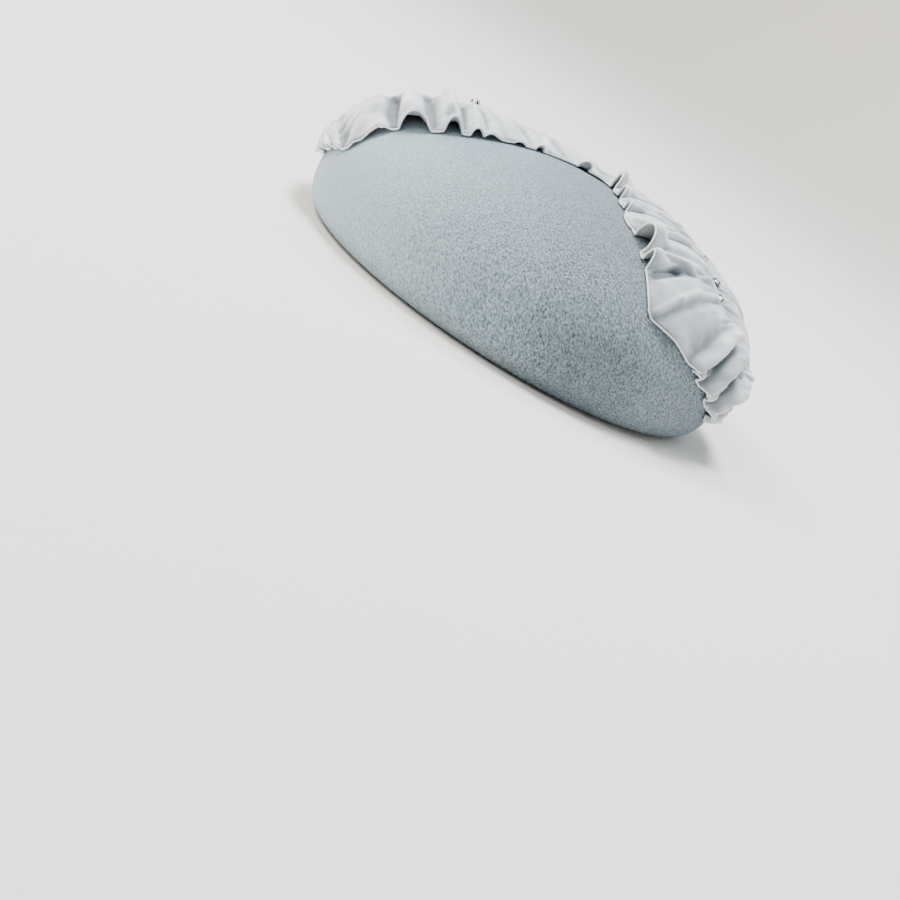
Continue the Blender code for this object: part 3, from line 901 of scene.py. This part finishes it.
def makeCrystal(number, spot, glass, metal):
    radius, stoneHeight, cupHeight = crystal["diameter"] / 2, crystal["stoneHeight"], crystal["cupHeight"]
    tableRadius = radius * crystal["tableShare"]
    form = bmesh.new()
    # Cup with its claws
    addRing(form, crystal["cupSides"], radius, radius + crystal["cupWall"], 0.0, cupHeight)
    clawOut = (radius + tableRadius) / 2 + crystal["clawGap"]
    clawPlace = Matrix.Translation((clawOut, 0, (cupHeight + stoneHeight) / 2))
    clawLean = Matrix.Rotation(-math.atan2(radius - tableRadius, stoneHeight), 4, "Y")
    clawSize = Matrix.Diagonal((*crystal["clawSize"], 1.0))
    for claw in range(crystal["claws"]):
        turn = Matrix.Rotation(math.tau * (claw / crystal["claws"] + 1 / 16), 4, "Z")
        bmesh.ops.create_cube(form, size=1.0, matrix=turn @ clawPlace @ clawLean @ clawSize)
    for face in form.faces:
        face.material_index = 1
    # Stone: girdle, a row of crown facets and the table
    before = set(form.faces)
    sides, girdleTop = crystal["stoneSides"], radius * crystal["girdleTop"]
    addRing(form, 2 * sides, radius, girdleTop, cupHeight / 2, stoneHeight * crystal["girdleHeight"])
    facetHeight = stoneHeight * crystal["facetHeight"]
    facetFoot = cupHeight / 2 + stoneHeight - facetHeight
    addRing(form, sides, radius * crystal["facetFoot"], tableRadius, facetFoot, facetHeight)
    for face in set(form.faces) - before:
        face.material_index = 0
    # It stands over its solid's middle, square to the cloth there
    corners = [vert.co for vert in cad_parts[f"crystal_{number}"].data.vertices]
    centre = sum(corners, Vector()) / len(corners)
    nearRun, nearAcross = 0.004, 0.1
    along = ribbonPoint(spot.run + nearRun, spot.across) - ribbonPoint(spot.run - nearRun, spot.across)
    over = ribbonPoint(spot.run, spot.across + nearAcross) - ribbonPoint(spot.run, spot.across - nearAcross)
    up = along.cross(over).normalized()
    up = up if up.dot(centre) > 0 else -up
    foot = (ribbonPoint(spot.run, spot.across) - centre).dot(up) + ribbon["wall"] / 2 - crystal["sink"]
    stand = Matrix.Translation(centre + up * foot) @ up.to_track_quat("Z", "Y").to_matrix().to_4x4()
    form.transform(stand)
    name = f"crystalStone_{number}"
    return newPiece(name, meshFrom(form, name, 10), [glass, metal], "crystal", f"crystal_{number}")


# Floor, light and camera

ground = {
    "flat": 1.6,
    "sweep": 1.2,
    "sweepBands": 12,
    "turns": 64,
    "drop": 0.0002,          # under the hat's rim
    "tone": "#F4F2ED",
}


def makeFloor():
    # A wide round floor that sweeps up far from the hat, so that no edge shows from any side
    material, tree = newMaterial("matt pale paper")
    finishMaterial(
        tree, {"Base Color": hexColor(ground["tone"]), "Roughness": 0.95, "Specular IOR Level": 0.1}, {},
    )
    flat, sweep, drop = ground["flat"], ground["sweep"], ground["drop"]
    outline = [(0.0, -drop)]
    for band in range(ground["sweepBands"] + 1):
        turn = math.pi / 2 * band / ground["sweepBands"]
        outline.append((flat + sweep * math.sin(turn), sweep * (1 - math.cos(turn)) - drop))
    form = spinOutline(outline, ground["turns"], 0.0001)
    floor = bpy.data.objects.new("floor", meshFrom(form, "floor", 60))
    bpy.context.scene.collection.objects.link(floor)
    floor.data.materials.append(material)


view = {
    "lens": 85,
    "sensor": 36,
    "distance": 0.824,
    "elevation": 10,         # degrees over the rim's plane
    "roll": 32.8,            # degrees that the picture is turned
    "nearest": 0.02,
    "imageSize": 900,
    "targetPixel": (527.5, 270.5),   # where the middle of the widest line falls in the picture
}


def makeCamera():
    elevation, roll = math.radians(view["elevation"]), math.radians(view["roll"])
    target = Vector((0, 0, crown["widestHeight"]))
    back = Vector((0, -math.cos(elevation), math.sin(elevation)))
    levelUp = Vector((0, math.sin(elevation), math.cos(elevation)))
    levelRight = Vector((1, 0, 0))
    right = levelRight * math.cos(roll) + levelUp * math.sin(roll)
    up = levelUp * math.cos(roll) - levelRight * math.sin(roll)
    facing = Matrix((right, up, back)).transposed()
    pixels = view["lens"] / view["sensor"] * view["imageSize"]
    half = view["imageSize"] / 2
    aside = Vector(((view["targetPixel"][0] - half) / pixels, (half - view["targetPixel"][1]) / pixels, -1))
    aim = aside.rotation_difference(Vector((0, 0, -1))).to_matrix()
    camera = bpy.data.objects.new("camera", bpy.data.cameras.new("camera"))
    camera.data.lens = view["lens"]
    camera.data.sensor_width = view["sensor"]
    camera.data.clip_start = view["nearest"]
    place = Matrix.Translation(target + back * view["distance"])
    camera.matrix_world = place @ (facing @ aim).to_4x4()
    bpy.context.scene.collection.objects.link(camera)
    bpy.context.scene.camera = camera
    return facing


# Places and aims are in the picture's own directions from the hat's middle: right, up and towards the viewer
Lamp = namedtuple("Lamp", "name place aim size power tone")
hatMiddle = (0, 0, 0)
lamps = [
    Lamp("key", (-0.35, 1.35, 0.35), hatMiddle, 0.5, 16, "#FFF6EA"),
    Lamp("front", (-0.1, 1.0, 1.1), hatMiddle, 0.6, 9, "#FFFFFF"),
    Lamp("left", (-1.4, 0.6, 0.1), hatMiddle, 0.6, 8, "#FFF1DE"),
    Lamp("right", (0.7, 1.35, 0.2), hatMiddle, 0.5, 33, "#F4F8FF"),
    Lamp("rim", (1.4, 0.5, -0.5), hatMiddle, 0.6, 9, "#E8F1FF"),
    Lamp("back", (0.6, 1.3, -0.5), hatMiddle, 0.6, 15, "#FFFFFF"),
    Lamp("backdrop", (1.2, 1.0, -1.0), (1.6, 0.6, -2.2), 1.0, 22, "#FFFDF8"),
]
room = {"lowestLamp": 0.25, "skyTone": "#E4E7EA", "skyStrength": 0.22}


def makeLights(facing):
    for lamp in lamps:
        light = bpy.data.lights.new(lamp.name, "AREA")
        light.shape = "DISK"
        light.size = lamp.size
        light.energy = lamp.power
        light.color = hexColor(lamp.tone)[:3]
        thing = bpy.data.objects.new(lamp.name, light)
        bpy.context.scene.collection.objects.link(thing)
        thing.location = facing @ Vector(lamp.place)
        thing.location.z = max(thing.location.z, room["lowestLamp"])
        thing.rotation_mode = "QUATERNION"
        back = thing.location - facing @ Vector(lamp.aim)
        thing.rotation_quaternion = back.to_track_quat("Z", "Y")
    world = bpy.data.worlds.new("studio")
    bpy.context.scene.world = world
    world.use_nodes = True
    sky = world.node_tree.nodes["Background"]
    sky.inputs["Color"].default_value = hexColor(room["skyTone"])
    sky.inputs["Strength"].default_value = room["skyStrength"]


makeCrown(woolFelt())
print("felt crown made")
satin = satinSelvedge()
cloth = makeRibbon(silkVelvet())
nearSelvedge = makeSelvedge("nearSelvedge", -1.0, satin)
farSelvedge = makeSelvedge("farSelvedge", 1.0, satin)
print("ribbon made")
glass, metal = cutGlass(), platedBrass()
for number, spot in enumerate(crystalSpots, start=1):
    makeCrystal(number, spot, glass, metal)
print("crystals made")
makeFloor()
makeLights(makeCamera())
print("floor, camera and lights made")
